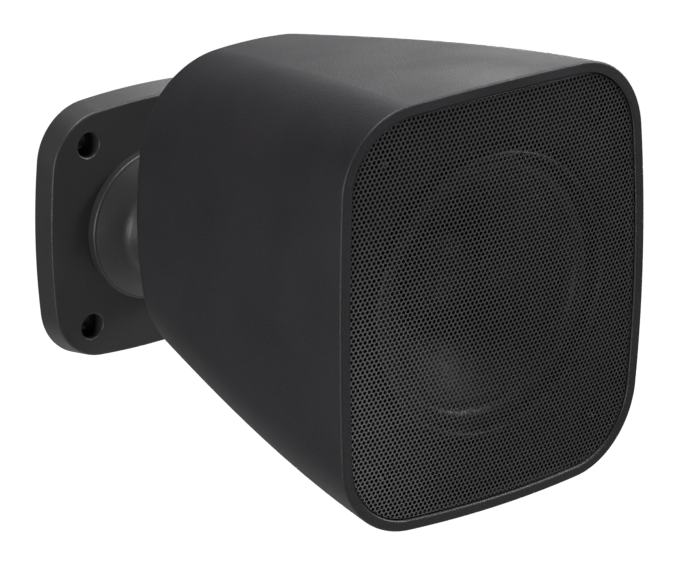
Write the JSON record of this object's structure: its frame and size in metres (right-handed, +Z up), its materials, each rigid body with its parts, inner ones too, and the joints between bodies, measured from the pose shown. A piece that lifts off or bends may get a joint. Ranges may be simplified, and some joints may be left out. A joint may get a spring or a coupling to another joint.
{
  "type": "wall speaker",
  "caption": "Small wall speaker: tapering rounded cabinet with a crowned perforated grille, on a ball joint and trumpet-shaped post from a rounded screw-on wall plate.",
  "frame": {"origin": "centre of the wall plate's back face, in the plane of the wall and at the middle of its screw holes", "axes": "+X to the right of someone facing the speaker, +Y into the wall, +Z up; the speaker faces -Y"},
  "size_m": [0.1124, 0.174, 0.1272],
  "materials": {
    "shell_plastic": "fine matte texture",
    "bracket_plastic": "fine matte texture",
    "ball_plastic": "smooth satin",
    "liner_plastic": "smooth acetal",
    "grille_metal": "matte powder coat",
    "baffle_plastic": "matte",
    "seal_foam": "closed-cell foam",
    "screw_steel": "black zinc",
    "bolt_steel": "bright zinc",
    "basket_metal": "satin black",
    "surround_rubber": "satin",
    "cone_paper": "coated pulp",
    "cap_fabric": "doped cloth",
    "coil_aluminium": "foil former",
    "spider_fabric": "doped cloth",
    "motor_steel": "zinc plated",
    "magnet_ferrite": "dull ground",
    "terminal_plastic": "matte",
    "block_plastic": "matte",
    "clamp_brass": "nickel-free"
  },
  "bodies": {
    "bracket": {"wall_plate": "bracket_plastic", "post": "bracket_plastic", "pivot_ball": "ball_plastic", "ball_bolt": "bolt_steel", "ball_nut": "bolt_steel"},
    "pan_liner": {"liner_cup": "liner_plastic"},
    "tilt_liner": {"liner_ring": "liner_plastic"},
    "speaker": {"locking_collar": "bracket_plastic", "cabinet_shell": "shell_plastic", "front_baffle": "baffle_plastic", "baffle_seal": "seal_foam", "baffle_screws": "screw_steel", "grille": "grille_metal", "terminal_plate": "terminal_plastic", "terminal_screws": "screw_steel", "terminal_block": "block_plastic", "clamp_screws": "clamp_brass", "driver_seal": "seal_foam", "basket": "basket_metal", "driver_screws": "screw_steel", "surround": "surround_rubber", "spider": "spider_fabric", "top_plate": "motor_steel", "magnet": "magnet_ferrite", "yoke": "motor_steel"},
    "cone": {"cone": "cone_paper", "dust_cap": "cap_fabric", "voice_coil": "coil_aluminium"}
  },
  "joints": [
    {"name": "pan", "type": "hinge", "parent": "bracket", "child": "pan_liner", "pos_m": [0, -0.05, 0], "axis": [0, 0, 1], "range_deg": [-22, 22]},
    {"name": "tilt", "type": "hinge", "parent": "pan_liner", "child": "tilt_liner", "pos_m": [0, -0.05, 0], "axis": [1, 0, 0], "range_deg": [-20, 20]},
    {"name": "roll", "type": "hinge", "parent": "tilt_liner", "child": "speaker", "pos_m": [0, -0.05, 0], "axis": [0, 1, 0], "range_deg": [-90, 90]},
    {"name": "cone_travel", "type": "slide", "parent": "speaker", "child": "cone", "axis": [0, 1, 0], "range_m": [-0.002, 0.002], "stiffness_N_per_m": 1400, "deforming": ["surround", "spider"]}
  ]
}
